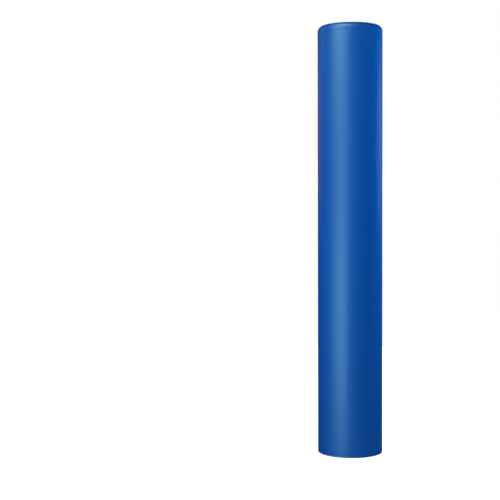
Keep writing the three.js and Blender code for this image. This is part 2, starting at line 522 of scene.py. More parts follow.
# %% The lining, foam and tapes
LINING_SHADES = ((0.006, 0.007, 0.010), (0.026, 0.029, 0.037))
LINING_ROUGHNESS, LINING_ROUGHNESS_DRIFT = 0.78, 0.1
WEAVE_SHARE = 0.7
WEAVE_DEPTH = 0.15 * MM
FOAM_SHADES = ((0.86, 0.87, 0.88), (0.70, 0.71, 0.72))
FOAM_CELLS_PER_METRE = 420.0
FOAM_WALL_CRISPNESS = 3.0
PIT_DEPTH = 0.25 * MM
HOOK_SHADES = ((0.010, 0.018, 0.050), (0.016, 0.028, 0.075))
LOOP_SHADES = ((0.014, 0.024, 0.065), (0.030, 0.048, 0.115))
RIB_PITCH = 0.9 * MM
RIB_DEPTH = 0.1 * MM


def make_lining():
    material, tree, shader = new_material("woven_lining", Sheen_Weight=0.15, Sheen_Roughness=0.5)
    weave = place_group(tree, plain_weave, coordinates_of(tree, "UV"))
    drift = place_group(tree, slow_drift, coordinates_of(tree), Patches_per_metre=14.0)
    shade = weave * WEAVE_SHARE + drift * (1.0 - WEAVE_SHARE)
    feed(tree, shader.inputs["Base Color"], shade_between(tree, shade, *LINING_SHADES))
    feed(tree, shader.inputs["Roughness"], drift * LINING_ROUGHNESS_DRIFT + LINING_ROUGHNESS)
    add_bump(tree, shader, weave, WEAVE_DEPTH, strength=0.9)
    return material


def make_foam():
    material, tree, shader = new_material("closed_cell_foam", Roughness=0.85)
    sampled = {"Vector": coordinates_of(tree), "Scale": FOAM_CELLS_PER_METRE}
    walls = value_of(tree, "ShaderNodeTexVoronoi", sampled, feature="DISTANCE_TO_EDGE")
    pits = (walls * FOAM_WALL_CRISPNESS).clamp()
    feed(tree, shader.inputs["Base Color"], shade_between(tree, pits, *FOAM_SHADES))
    add_bump(tree, shader, pits, -PIT_DEPTH, strength=0.8)
    return material


def make_nylon(name, shades, roughness):
    """Nylon for the two tapes: ribs across the tape, and a fine drift of shade."""
    material, tree, shader = new_material(name, Roughness=roughness, Sheen_Weight=0.08)
    place = coordinates_of(tree)
    ribs = (split_xyz(tree, place)[2] * (2 * pi / RIB_PITCH)).sine()
    drift = place_group(tree, slow_drift, place, Patches_per_metre=300.0)
    feed(tree, shader.inputs["Base Color"], shade_between(tree, drift, *shades))
    add_bump(tree, shader, ribs, RIB_DEPTH, strength=0.5)
    return material


lining_cloth = make_lining()
foam = make_foam()
hook_nylon = make_nylon("hook_nylon", HOOK_SHADES, roughness=0.5)
loop_nylon = make_nylon("loop_nylon", LOOP_SHADES, roughness=0.9)
print("materials:", sorted(m.name for m in bpy.data.materials if m.node_tree))

# %% [markdown]
# ## The sheets that go round the bore
#
# The cover, lining and caps are all sheets turned round the pad's axis. Each could be spun from its
# own profile by a Screw modifier and then moved point by point, but one tree makes them all alike.
# It takes a profile in radius and height, turns it through an angle, and then works the sheet as
# sewing does: each edge rolls down into its seam, small puckers run off the seam and fade, and the
# foam behind gives the long walls a slow wave. Rows and columns crowd towards the edges, where the
# shape is fine.

# %% The tree that turns a sheet
PUCKERS_UP = 6.0
WAVE_HEIGHT_SHARE = 0.45
BOTH_WAYS = 2.0
TURNED_NUMBERS = {
    **GRID_NUMBERS,
    "Start angle": -pi,
    "End angle": pi,
    "Start round": 0.0,
    "End round": 0.0,
    "Seam roll": 0.0,
    "Seam reach": 1.5 * MM,
    "Pucker depth": 0.0,
    "Pucker reach": 9.0 * MM,
    "Puckers per radian": 9.0,
    "Wave depth": 0.0,
    "Waves per metre": 5.0,
}


def sewn_lift(tree, given, east, south, radius, height, near_seams):
    """How far sewing and foam lift a sheet. near_seams fades from 1 at a seam over a reach."""
    lift = near_seams(given["Seam reach"]) * -given["Seam roll"]
    crowd = given["Puckers per radian"]
    puckers = noise(tree, join_xyz(tree, east * crowd, south * crowd, height * PUCKERS_UP))
    lift = lift + puckers * near_seams(given["Pucker reach"]) * given["Pucker depth"] * BOTH_WAYS
    body = join_xyz(tree, east * radius, south * radius, height * WAVE_HEIGHT_SHARE)
    waves = noise(tree, body, given["Waves per metre"], detail=1.0)
    return lift + waves * given["Wave depth"] * BOTH_WAYS


def build_turned_sheet():
    tree, given = new_shape_tree("turned_sheet", TURNED_NUMBERS)
    grid, column, row = new_grid(tree, given)
    (radius, _, height), (outward, _, upward), length = along_path(tree, given, row)
    angle = given["Start angle"] + (given["End angle"] - given["Start angle"]) * column
    east, south = angle.sine(), -angle.math("COSINE")
    from_low = row * length
    from_high = length - from_low

    def near_seams(reach):
        return fade(from_low, reach) + fade(from_high, reach)

    lift = sewn_lift(tree, given, east, south, radius, height, near_seams)
    lift = lift - rounding((angle - given["Start angle"]) * radius, given["Start round"])
    lift = lift - rounding((given["End angle"] - angle) * radius, given["End round"])
    far = radius + upward * lift
    final = join_xyz(tree, east * far, south * far, height - outward * lift)
    bend_grid(tree, given, grid, final, angle * radius, from_low)
    return tree


turned_sheet = build_turned_sheet()

# %% [markdown]
# The real rim is foam under vinyl: softly rounded outside, and tighter where it turns into the bore.
# Its section could be a curve drawn by eye. Arcs with named radii keep it on the CAD model's shape,
# and the cores and the caps take their outlines from the same two functions.

# %% Profiles in radius and height
ARC_STEPS = 12


def arc(centre, radius, start, end):
    """Points on a round stretch of a profile. Angles are in degrees, from outwards to up."""
    angles = [radians(start + (end - start) * i / ARC_STEPS) for i in range(ARC_STEPS + 1)]
    return [(centre[0] + radius * cos(a), 0, centre[1] + radius * sin(a)) for a in angles]


def over_the_top(outside, inside, above):
    """Over the shoulder and the collar, inset by the sheets that lie outside, inside and above."""
    outer, inner, top = pad_radius - outside, bore_radius + inside, pad_height - above
    shoulder, collar = SHOULDER_ROUND - outside, COLLAR_ROUND - inside
    shoulder_arc = arc((outer - shoulder, top - shoulder), shoulder, 0, 90)
    collar_arc = arc((inner + collar, top - collar), collar, 90, 180)
    return shoulder_arc + collar_arc


def under_the_foot(outside, inside, below):
    """From the bore, under the foot and up to the outside."""
    outer, inner = pad_radius - outside, bore_radius + inside
    heel, toe = max(FOOT_ROUND - inside, LAYER_GAP), max(FOOT_ROUND - outside, LAYER_GAP)
    heel_arc = arc((inner + heel, below + heel), heel, 180, 270)
    toe_arc = arc((outer - toe, below + toe), toe, -90, 0)
    return heel_arc + toe_arc


HAIRLINE = 0.03 * MM
top_seam = (wall_high + top_box[0].z) / 2
foot_seam = (wall_low + foot_box[1].z) / 2
cap_low, cap_high = top_seam + HAIRLINE, foot_seam - HAIRLINE
top_profile = [(pad_radius, 0, cap_low), *over_the_top(0, 0, 0), (bore_radius, 0, cap_low)]
foot_profile = [(bore_radius, 0, cap_high), *under_the_foot(0, 0, 0), (pad_radius, 0, cap_high)]
sheet_low, sheet_high = foot_seam + HAIRLINE, top_seam - HAIRLINE
print("seams at", round(foot_seam / MM, 1), "and", round(top_seam / MM, 1), "mm")

# %% [markdown]
# ## Padded sheets swell
#
# A sheet that is sewn round foam is pressed out by it and held by its seams. It could be puffed up
# by a formula, but that looks the same all the way round. A short cloth simulation finds its own
# shape: the sheet's edges are pinned, a light pressure stands in for the foam, and no point may move
# further than a set limit, because the foam is firm and its cover is tight.

# %% Let a sheet swell
SETTLING_FRAMES = 20
VINYL_CLOTH = {
    "quality": 6,
    "mass": 0.4,
    "tension_stiffness": 60,
    "compression_stiffness": 30,
    "shear_stiffness": 30,
    "bending_stiffness": 4,
    "vertex_group_mass": "sewn_edge",
    "use_pressure": True,
}


def sewn_edge(mesh):
    """The points on the open edges of a sheet: those of every side that only one face has."""
    faces_at = {}
    for polygon in mesh.polygons:
        for edge in polygon.edge_keys:
            faces_at[edge] = faces_at.get(edge, 0) + 1
    return sorted({vertex for edge, count in faces_at.items() if count == 1 for vertex in edge})


def swell(piece, pressure, limit):
    """Lets a sheet swell like cloth between its sewn edges."""
    piece.vertex_groups.new(name="sewn_edge").add(sewn_edge(piece.data), 1.0, "REPLACE")
    cloth = piece.modifiers.new("swelling", "CLOTH")
    for name, value in VINYL_CLOTH.items():
        setattr(cloth.settings, name, value)
    cloth.settings.uniform_pressure_force = pressure
    cloth.settings.effector_weights.gravity = 0
    cloth.point_cache.frame_start = 1
    cloth.point_cache.frame_end = SETTLING_FRAMES
    for step in range(1, SETTLING_FRAMES + 1):
        scene.frame_set(step)
    graph = bpy.context.evaluated_depsgraph_get()
    settled = [vertex.co.copy() for vertex in piece.evaluated_get(graph).data.vertices]
    piece.modifiers.remove(cloth)
    piece.vertex_groups.clear()
    scene.frame_set(1)
    furthest = 0.0
    for vertex, target in zip(piece.data.vertices, settled):
        move = target - vertex.co
        furthest = max(furthest, move.length)
        if move.length > 0:
            vertex.co += move * (limit * tanh(move.length / limit) / move.length)
    piece.data.update()
    print(piece.name, "swelled", round(furthest / MM, 2), "mm, held to", round(limit / MM, 2))


# %% [markdown]
# ## Cover, caps and lining
#
# The cover is the blue vinyl that shows from every side. It goes round the whole pad and bends across
# the fold line at its front, where the two halves of the CAD model meet. It could be two sheets with
# a seam there, but the real one is whole, and so is its front in the photograph. Its last stretch on
# each side of the slit is a band of its own, joined on under the flap's strip and the hook tape,
# because only the front may bend when the pad opens.

# %% Turn the cover and the bands at the slit
SEAM_ROLL = 0.4 * MM
SLIT_ROUND = 1.5 * MM
BAND_WIDTH = 15 * MM
FOLD_HALF_WIDTH = 2.5 * MM
WORKED = {"seam_roll": SEAM_ROLL, "pucker_depth": 0.35 * MM, "wave_depth": 0.3 * MM}
slit_angle = slit_half / pad_radius
band_angle = BAND_WIDTH / pad_radius
front_fold = Vector((0, -pad_radius, 0))
half_fold = Vector((FOLD_HALF_WIDTH, 0, 0))


def turn(name, profile, material, start, end, **numbers):
    """Turns a profile through the angles from start to end, which count from the front to +X."""
    return grow(name, profile, turned_sheet, material, start_angle=start, end_angle=end, **numbers)


def cover_stretch(name, start, end, **numbers):
    """A stretch of the cover between two angles, as tall as the pad's wall."""
    wall = [(pad_radius, 0, sheet_low), (pad_radius, 0, sheet_high)]
    sheet = turn(name, wall, vinyl, start, end, rows=121, row_crowding=0.92, **WORKED, **numbers)
    return thicken(sheet, SHEET)


round_columns = {"columns": 321, "column_turns": 2, "column_crowding": 0.75}
cover = cover_stretch("cover_sheet", -pi + band_angle, pi - band_angle, **round_columns)
cover_fold = ("left_half", "right_half", front_fold - half_fold, front_fold + half_fold)
hand_over(cover, ["outer_cover_left", "outer_cover_right"], fold=cover_fold)

band_turns = {
    "left": {"start": -pi + slit_angle, "end": -pi + band_angle, "start_round": SLIT_ROUND},
    "right": {"start": pi - band_angle, "end": pi - slit_angle, "end_round": SLIT_ROUND},
}
slit_bands = {}
for side, numbers in band_turns.items():
    band = cover_stretch(f"slit_band_{side}", columns=41, column_crowding=0.7, **numbers)
    hand_over(band, body=f"{side}_half")
    slit_bands[side] = band

# %% [markdown]
# The top cap turns over the shoulder and the collar and a little way into the bore. The bottom cap is
# flat, with a low edge turned up. Each could be one ring, but the pad opens there, so both stay in
# halves, with a hairline between them at the front.

# %% Turn the caps of both halves
CAP_SLIT_ROUND = 1.2 * MM
FRONT_HAIRLINE = 0.05 * MM
front_angle = FRONT_HAIRLINE / pad_radius
HALF_TURNS = {"left": (-pi + slit_angle, -front_angle), "right": (front_angle, pi - slit_angle)}


def cap(name, side, profile, rows, **numbers):
    """One half of an end cap. Its back edge is rounded at the slit, and its front is a hairline."""
    rounded = "start_round" if side == "left" else "end_round"
    spread = {"columns": 161, "rows": rows, "column_crowding": 0.8, "row_crowding": 0.7}
    worked = {rounded: CAP_SLIT_ROUND, **spread, **numbers}
    return turn(f"{name}_{side}", profile, vinyl, *HALF_TURNS[side], **worked)


def close_cap(skin, side, node):
    """Gives half a cap its thickness and hands it over."""
    skin = thicken(skin, SHEET)
    hand_over(skin, [f"{node}_{side}"], f"{side}_half")


for side in HALF_TURNS:
    top = cap("top_cap_skin", side, top_profile, rows=61, waves_per_metre=14.0, **WORKED)
    swell(top, pressure=4.0, limit=0.8 * MM)
    close_cap(top, side, "top_cap")
    foot_seams = {"seam_roll": SEAM_ROLL, "seam_reach": 0.9 * MM}
    foot = cap("bottom_cap_skin", side, foot_profile, rows=41, **foot_seams)
    close_cap(foot, side, "bottom_cap")

# %% [markdown]
# The lining is the woven cloth that lies against whatever stands in the bore. It is the same kind of
# sheet as the cover, so the same tree turns it. Its profile runs downwards, which turns its face to
# the bore.

# %% Turn the lining of both halves
lining_profile = [(bore_radius, 0, sheet_high), (bore_radius, 0, sheet_low)]
lining_spread = {"columns": 81, "rows": 61, "column_crowding": 0.6, "row_crowding": 0.8}
lining_work = {"seam_roll": 0.5 * MM, "pucker_depth": 0.2 * MM, "wave_depth": 0.2 * MM}
for side, angles in HALF_TURNS.items():
    name = f"lining_cloth_{side}"
    cloth = turn(name, lining_profile, lining_cloth, *angles, **lining_spread, **lining_work)
    cloth = thicken(cloth, LINING_SHEET)
    hand_over(cloth, [f"lining_{side}"], f"{side}_half")

# %% [markdown]
# ## Foam cores
#
# Each core is a half ring of closed-cell foam. Nothing of it shows while the pad is whole, but it is
# there, with its rounded shoulder and flat cut faces. Its cover is tight and its seams are rolled in,
# so it is squeezed a little smaller than it was cut. The tree above makes open sheets, and a core has
# to be closed, so mesh code turns its outline instead: a loop of points for each step round, faces
# between the loops, and one face at each end.

# %% Turn the foam
FOAM_STEPS = 48


def turned_solid(name, outline, start, end, material):
    """A closed outline turned through an angle, with a face over each end."""
    count = len(outline)
    angles = [start + (end - start) * i / FOAM_STEPS for i in range(FOAM_STEPS + 1)]
    points = [(r * sin(a), -r * cos(a), z) for a in angles for r, _, z in outline]
    last = FOAM_STEPS * count
    faces = [tuple(reversed(range(count))), tuple(range(last, last + count))]
    for near in range(0, last, count):
        for i in range(count):
            j = (i + 1) % count
            faces.append((near + i, near + j, near + count + j, near + count + i))
    mesh = bpy.data.meshes.new(name)
    mesh.from_pydata(points, [], faces)
    mesh.materials.append(material)
    mesh.shade_smooth()
    mesh.set_sharp_from_angle(angle=CREASE)
    piece = bpy.data.objects.new(name, mesh)
    scene.collection.objects.link(piece)
    return piece


SQUEEZE = 1.2 * MM
core_insets = (SHEET + LAYER_GAP, LINING_SHEET + LAYER_GAP, SHEET + LAYER_GAP)
squeezed = [inset + SQUEEZE for inset in core_insets]
core_outline = under_the_foot(*squeezed) + over_the_top(*squeezed)
cut_angle = (slit_half + SHEET + LAYER_GAP) / core_inner
for side, (start, end) in {"left": (-pi, 0), "right": (0, pi)}.items():
    core = turned_solid(f"foam_{side}", core_outline, start + cut_angle, end - cut_angle, foam)
    hand_over(core, [f"foam_core_{side}"], f"{side}_half")

# %% [markdown]
# ## Upright panels
#
# The facings over the foam's cut faces, the closing flap and the bases of the tapes are all tall
# panels with the same section from end to end, and some have rounded corners. Each could be cut out
# of a flat sheet and bent. A second tree makes them with less work: it is put on the section's line,
# stretches it upwards, trims the corners, and gives the edges a roll or a hem.

# %% The tree that stretches a panel upwards
HEM_STEP = 0.8 * MM
PANEL_NUMBERS = {
    **GRID_NUMBERS,
    "Low": 0.0,
    "High": 1.0,
    "Start low round": 0.0,
    "Start high round": 0.0,
    "End low round": 0.0,
    "End high round": 0.0,
    "Edge roll": 0.0,
    "Edge reach": 1.5 * MM,
    "Hem width": 0.0,
    "Hem lift": 0.0,
    "Lying radius": 1.0,
    "Droop share": 0.0,
    "Droop reach": 4.0 * MM,
    "Ripple depth": 0.0,
    "Ripple reach": 12.0 * MM,
    "Ripples per metre": 9.0,
}


def trimmed_ends(given, from_start, from_end):
    """How low and how high the panel reaches at each place across it, with its corners rounded."""
    low = given["Low"] + rounding(from_start, given["Start low round"])
    low = low + rounding(from_end, given["End low round"])
    high = given["High"] - rounding(from_start, given["Start high round"])
    high = high - rounding(from_end, given["End high round"])
    return low, high


def edge_lift(given, from_free, from_edge, radius):
    """Rolls the edges in, raises a hem along the free ones, and lets those that stand off droop."""
    lift = fade(from_edge, given["Edge reach"]) * -given["Edge roll"]
    hem = ((given["Hem width"] - from_free) / HEM_STEP + 0.5).clamp()
    lift = lift + hem * given["Hem lift"]
    room = (radius - given["Lying radius"]).math("MAXIMUM", 0.0)
    return lift - room * (fade(from_free, given["Droop reach"]) * given["Droop share"])


def build_upright_panel():
    tree, given = new_shape_tree("upright_panel", PANEL_NUMBERS)
    grid, column, row = new_grid(tree, given)
    (x, y, _), (along_x, along_y, _), length = along_path(tree, given, column)
    from_start = column * length
    from_end = length - from_start
    low, high = trimmed_ends(given, from_start, from_end)
    height = low + (high - low) * row

    from_ends = (height - low).math("MINIMUM", high - height)
    from_free = from_ends.math("MINIMUM", from_start)
    from_edge = from_free.math("MINIMUM", from_end)
    lift = edge_lift(given, from_free, from_edge, (x * x + y * y).math("SQRT"))
    ripples = noise(tree, join_xyz(tree, 0.0, 0.0, height * given["Ripples per metre"]))
    ripples = ripples * given["Ripple depth"] * BOTH_WAYS
    lift = lift + ripples * fade(from_start, given["Ripple reach"])
    final = join_xyz(tree, x + along_y * lift, y - along_x * lift, height)
    bend_grid(tree, given, grid, final, from_start, height)
    return tree


upright_panel = build_upright_panel()

# %% [markdown]
# ## Facings
#
# Where the foam is cut, at the slit and at the fold, a strip of the same vinyl covers it, tucked
# under the edges of the cover and the caps. It could be a plain rectangle, but its corners would
# then stick out past the rounded rim. So each strip has the outline of the foam's cut face.

# %% Make the four facings
inner_rounds = (FOOT_ROUND - core_insets[1], COLLAR_ROUND - core_insets[1])
outer_rounds = (FOOT_ROUND - core_insets[0], SHOULDER_ROUND - core_insets[0])
FACING_FRONTS = {"hinge_facing": -1, "closing_facing": 1}


def facing(name, x, y_start, y_end):
    """A facing whose face turns to the other half. Its section runs from y_start to y_end."""
    from_inside = abs(y_start) < abs(y_end)
    first, last = (inner_rounds, outer_rounds) if from_inside else (outer_rounds, inner_rounds)
    return grow(
        name,
        [(x, y_start, 0), (x, y_end, 0)],
        upright_panel,
        vinyl,
        low=core_insets[2],
        high=pad_height - core_insets[2],
        start_low_round=first[0],
        start_high_round=first[1],
        end_low_round=last[0],
        end_high_round=last[1],
        columns=31,
        rows=121,
        column_crowding=0.8,
        row_crowding=0.9,
        edge_roll=0.5 * MM,
    )


facings = {}
for side, x in {"left": -slit_half, "right": slit_half}.items():
    for name, front in FACING_FRONTS.items():
        section = sorted([front * core_inner, front * core_outer], reverse=side == "right")
        sheet = thicken(facing(f"{name}_sheet_{side}", x, *section), SHEET)
        hand_over(sheet, [f"{name}_{side}"], f"{side}_half")
        facings[name, side] = sheet

# %% [markdown]
# ## Closing flap
#
# The strip that is sewn to the left half and the flap that folds off it are one sheet of vinyl. It
# lies on the cover, climbs over the two tapes, and ends in a free edge with rounded corners and a
# narrow hem. It could be made as two pieces with a hinge, as in the CAD model, but cloth has no gap
# at its fold. The ends of its fold line are worked out from the CAD model's fold joint.

# %% Make the flap from its section
flap_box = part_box("closing_flap")
hinge = next(Vector(joint["pos_m"]) for joint in frame["joints"] if joint["name"] == "flap_fold")
# Distances along the cover from the slit, towards +X: the strip's edge, the fold, the end of the
# climb on to the tapes, and the free edge.
STRIP_ARC = -22.2 * MM
HINGE_ARC = -8.0 * MM
RAMP_ARC = 6.0 * MM
FREE_ARC = 67.0 * MM
FLAP_CORNER = 22 * MM
FLAP_FOLD_HALF_WIDTH = 1.5 * MM
strip_face = pad_radius + LAYER_GAP + SHEET
flap_back = Vector((flap_box[1].x, flap_box[0].y)).length
flap_face = flap_back + SHEET


def on_cover(radius, along, height=0.0):
    """A point at a distance along the cover from the slit, towards +X, at some radius."""
    return Vector((radius * sin(along / pad_radius), radius * cos(along / pad_radius), height))


def flap_radius(along):
    """The radius of the flap's outer face: it climbs smoothly from the strip to the tapes."""
    share = min(max((along - HINGE_ARC) / (RAMP_ARC - HINGE_ARC), 0), 1)
    return strip_face + (flap_face - strip_face) * share * share * (3 - 2 * share)


SECTION_STEPS = 90
section_arcs = [FREE_ARC + (STRIP_ARC - FREE_ARC) * i / SECTION_STEPS for i in range(SECTION_STEPS + 1)]
flap = grow(
    "closing_flap_sheet",
    [on_cover(flap_radius(along), along) for along in section_arcs],
    upright_panel,
    vinyl,
    low=flap_box[0].z,
    high=flap_box[1].z,
    start_low_round=FLAP_CORNER,
    start_high_round=FLAP_CORNER,
    columns=121,
    rows=241,
    column_crowding=0.5,
    row_crowding=0.85,
    edge_roll=0.25 * MM,
    hem_width=9 * MM,
    hem_lift=0.35 * MM,
    lying_radius=strip_face,
    droop_share=0.6,
    ripple_depth=0.8 * MM,
)
flap = thicken(flap, SHEET)
hinge_turn = HINGE_ARC / pad_radius
across_fold = Vector((cos(hinge_turn), -sin(hinge_turn), 0)) * FLAP_FOLD_HALF_WIDTH
flap_fold = ("left_half", "flap", hinge - across_fold, hinge + across_fold)
hand_over(flap, ["flap_sewn_strip", "closing_flap"], fold=flap_fold)

# %% [markdown]
# ## Hook-and-loop tapes
#
# Each tape is a woven nylon base with a field of hooks or loops on it. They could be hairs of a
# particle system, but hair has to be combed into shape and then made into a mesh. One tree makes both
# fields: it is put on the line that one hook or loop follows, gives that line a round wire, and
# repeats it in rows over the tape, with a little disorder. Each has only a few faces, because there
# are thousands.

# %% The tree that plants hooks and loops
FIELD_NUMBERS = {
    "Radius": 0.09,
    "Along radius": 0.09,
    "Start arc": 0.0,
    "End arc": 0.05,
    "Low": 0.0,
    "High": 1.0,
    "Count across": 10,
    "Count along": 100,
    "Wire radius": 0.1 * MM,
    "Disorder": 0.5 * MM,
    "Turned by": 0.0,
    "Turn range": 0.5,
    "Seed": 1,
}


def stray(tree, given, reach, offset):
    """A random number within the reach for each place, with a seed of its own."""
    node = add_node(tree, "FunctionNodeRandomValue", data_type="FLOAT")
    low, high = [s for s in node.inputs if s.name in ("Min", "Max") and s.type == "VALUE"][:2]
    feed(tree, low, -reach)
    feed(tree, high, reach)
    feed(tree, node.inputs["Seed"], given["Seed"] + offset)
    return Field(tree, next(s for s in node.outputs if s.type == "VALUE"))


def round_wire(tree, given):
    """A wire along the line that the tree is put on. Its section has only three sides."""
    path = add_node(tree, "GeometryNodeMeshToCurve", [given["Geometry"]]).outputs[0]
    ring = add_node(tree, "GeometryNodeCurvePrimitiveCircle", {"Resolution": 3}, mode="RADIUS")
    feed(tree, ring.inputs["Radius"], given["Wire radius"])
    swept = {"Curve": path, "Profile Curve": ring.outputs[0], "Fill Caps": True}
    return add_node(tree, "GeometryNodeCurveToMesh", swept).outputs[0]


def build_tape_field():
    tree, given = new_shape_tree("tape_field", FIELD_NUMBERS)
    wire = round_wire(tree, given)
    counts = {"Vertices X": given["Count across"], "Vertices Y": given["Count along"]}
    grid = add_node(tree, "GeometryNodeMeshGrid", {"Size X": 1.0, "Size Y": 1.0, **counts})
    across, up, _ = split_xyz(tree, value_of(tree, "GeometryNodeInputPosition"))

    arc_place = given["Start arc"] + (given["End arc"] - given["Start arc"]) * (across + 0.5)
    arc_place = arc_place + stray(tree, given, given["Disorder"], offset=1)
    height = given["Low"] + (given["High"] - given["Low"]) * (up + 0.5)
    height = height + stray(tree, given, given["Disorder"], offset=2)
    angle = arc_place / given["Along radius"]
    radius = given["Radius"]
    place = join_xyz(tree, angle.sine() * radius, angle.math("COSINE") * radius, height)
    spread = add_node(tree, "GeometryNodeSetPosition", {"Geometry": grid.outputs[0], "Position": place})
    turn_stray = stray(tree, given, given["Turn range"], offset=3)
    turned = join_xyz(tree, 0.0, turn_stray, given["Turned by"] - angle)
    planted = {"Points": spread.outputs[0], "Instance": wire, "Rotation": turned}
    field = add_node(tree, "GeometryNodeInstanceOnPoints", planted)
    end_shape_tree(tree, given, field.outputs[0])
    return tree


tape_field = build_tape_field()

# %% [markdown]
# The base of a tape is a flat ribbon, sewn down along both long edges. The panel tree makes it, from
# a section that follows the round of the pad. The hook tape faces outwards and the loop tape faces
# the hooks, so their sections run in opposite directions.

# %% Make the two tapes
TAPE_ARCS = (8.0 * MM, 58.0 * MM)
TAPE_BASE = 0.6 * MM
BEHIND_LOOPS = 0.05 * MM
BASE_STEPS = 24
tape_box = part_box("hook_tape")


def tape_base(name, radius, arcs, material, slot, body):
    """The woven base of a tape. Its faces turn outwards if its section runs towards -X."""
    start, end = arcs
    along = [start + (end - start) * i / BASE_STEPS for i in range(BASE_STEPS + 1)]
    points = [on_cover(radius, distance) for distance in along]
    ends = {"low": tape_box[0].z, "high": tape_box[1].z}
    spread = {"columns": 41, "rows": 81, "column_crowding": 0.7, "row_crowding": 0.8}
    base = grow(name, points, upright_panel, material, edge_roll=0.2 * MM, **ends, **spread)
    base = thicken(base, TAPE_BASE)
    hand_over(base, [slot], body)
    return base


hook_face = pad_radius + LAYER_GAP + TAPE_BASE
loop_face = flap_back - BEHIND_LOOPS - TAPE_BASE
hook_place = (hook_face, TAPE_ARCS[::-1], hook_nylon)
loop_place = (loop_face, TAPE_ARCS, loop_nylon)
hook_base = tape_base("hook_tape_base", *hook_place, "hook_tape", "right_half")
loop_base = tape_base("loop_tape_base", *loop_place, "loop_tape", "flap")

# %% [markdown]
# A real hook is a short nylon wire bent over at its end, and a real loop is a fine arch among many
# that lean every way. An image of them would look flat where the flap is open, so both are wires,
# drawn here in millimetres. The edges of a tape are left bare, for the seams.

# %% Plant the hooks and the loops
HOOK_LINE = [(0, 0, 0), (0, 0.50, 0), (0, 0.80, 0.15), (0, 0.82, 0.42), (0, 0.60, 0.55)]
LOOP_LINE = [(-0.75, 0, 0), (-0.60, 0.50, 0.1), (0, 0.85, 0), (0.60, 0.50, -0.1), (0.75, 0, 0)]
EDGE_WITHOUT_HOOKS = 3.0 * MM
FIELD_PLACE = {
    "along_radius": pad_radius,
    "start_arc": TAPE_ARCS[0] + EDGE_WITHOUT_HOOKS,
    "end_arc": TAPE_ARCS[1] - EDGE_WITHOUT_HOOKS,
    "low": tape_box[0].z + EDGE_WITHOUT_HOOKS,
    "high": tape_box[1].z - EDGE_WITHOUT_HOOKS,
    "count_along": 376,
}


def plant(name, line, material, slot, body, **numbers):
    """Plants one line, given in millimetres, all over a tape."""
    points = [Vector(point) * MM for point in line]
    field = grow(name, points, tape_field, material, **FIELD_PLACE, **numbers)
    hand_over(field, body=body)


hook_field = {"radius": hook_face, "count_across": 15, "wire_radius": 0.14 * MM}
hook_stray = {"disorder": 0.25 * MM, "turn_range": 0.6}
plant("hook_tape_hooks", HOOK_LINE, hook_nylon, "hook_tape", "right_half", **hook_field, **hook_stray)
loop_field = {"radius": loop_face, "count_across": 18, "wire_radius": 0.13 * MM, "turned_by": pi}
loop_stray = {"disorder": 1.1 * MM, "turn_range": pi, "seed": 7}
plant("loop_tape_pile", LOOP_LINE, loop_nylon, "loop_tape", "flap", **loop_field, **loop_stray)

# %% [markdown]
# ## Stitches
#
# The flap, the tapes and the facings are sewn with a plain running stitch in thread of the vinyl's
# own colour. Stitches could be drawn into the finish as bumps, but real ones cast small shadows and
# show at an edge. A tree lays them: it is put on the line of a seam, marks it off at the length of a
# stitch, and sets a small rounded stitch at each mark, half sunk in.

# %% The tree that sews along a line
def build_running_stitch():
    numbers = {"Pitch": 4.0 * MM, "Length": 3.3 * MM, "Thickness": 0.6 * MM}
    tree, given = new_shape_tree("running_stitch", numbers)
    seam = add_node(tree, "GeometryNodeMeshToCurve", [given["Geometry"]]).outputs[0]
    marks = add_node(tree, "GeometryNodeResampleCurve", {"Curve": seam}, mode="LENGTH")
    feed(tree, marks.inputs["Length"], given["Pitch"])
    shape = {"Segments": 6, "Rings": 4, "Radius": 1.0}
    ball = add_node(tree, "GeometryNodeMeshUVSphere", shape)
    half = given["Thickness"] / 2.0
    long = {"Geometry": ball.outputs[0], "Scale": join_xyz(tree, half, half, given["Length"] / 2.0)}
    stitch = add_node(tree, "GeometryNodeTransform", long)
    lie = add_node(tree, "FunctionNodeAlignRotationToVector", axis="Z")
    feed(tree, lie.inputs["Vector"], tree.nodes.new("GeometryNodeInputTangent").outputs[0])
    sewn = {"Points": marks.outputs[0], "Instance": stitch.outputs[0], "Rotation": lie.outputs[0]}
    end_shape_tree(tree, given, add_node(tree, "GeometryNodeInstanceOnPoints", sewn).outputs[0])
    return tree


running_stitch = build_running_stitch()

# %% [markdown]
# Each seam is drawn as a line near its sheet and then laid on the sheet by casting rays at it. It
# could be worked out from the sheet's sizes, but only rays find every ripple that the sheet has.

# %% Drawing a seam and laying it on a sheet
SEAM_STEP = 5 * MM
RAY_START = 10 * MM
PROUD = 0.05 * MM
CORNER_STEPS = 8


def finely(corners):
    """The points of a line through these corners, about a seam step apart."""
    points = [corners[0]]
    for start, end in zip(corners, corners[1:]):
        steps = max(1, round((end - start).length / SEAM_STEP))
        points += [start.lerp(end, i / steps) for i in range(1, steps + 1)]
    return points


def upright_line(along, low, high, inset):
    """A line up the cover at a distance along it from the slit, short of both heights by the inset."""
    return finely([on_cover(pad_radius, along, low + inset), on_cover(pad_radius, along, high - inset)])


def rounded_line(arcs, heights, corner):
    """A three-sided line over the flap: out along its lower edge, up its free edge and back."""
    (inner, outer), (low, high) = arcs, heights
    flat = [Vector((inner, low))]
    for centre_height, first in ((low + corner, -90), (high - corner, 0)):
        angles = [radians(first + 90 * i / CORNER_STEPS) for i in range(CORNER_STEPS + 1)]
        across = [outer - corner + corner * cos(a) for a in angles]
        up = [centre_height + corner * sin(a) for a in angles]
        flat += [Vector(point) for point in zip(across, up)]
    return [on_cover(pad_radius, *point) for point in finely([*flat, Vector((inner, high))])]


def outwards(point):
    return Vector((point.x, point.y, 0)).normalized()


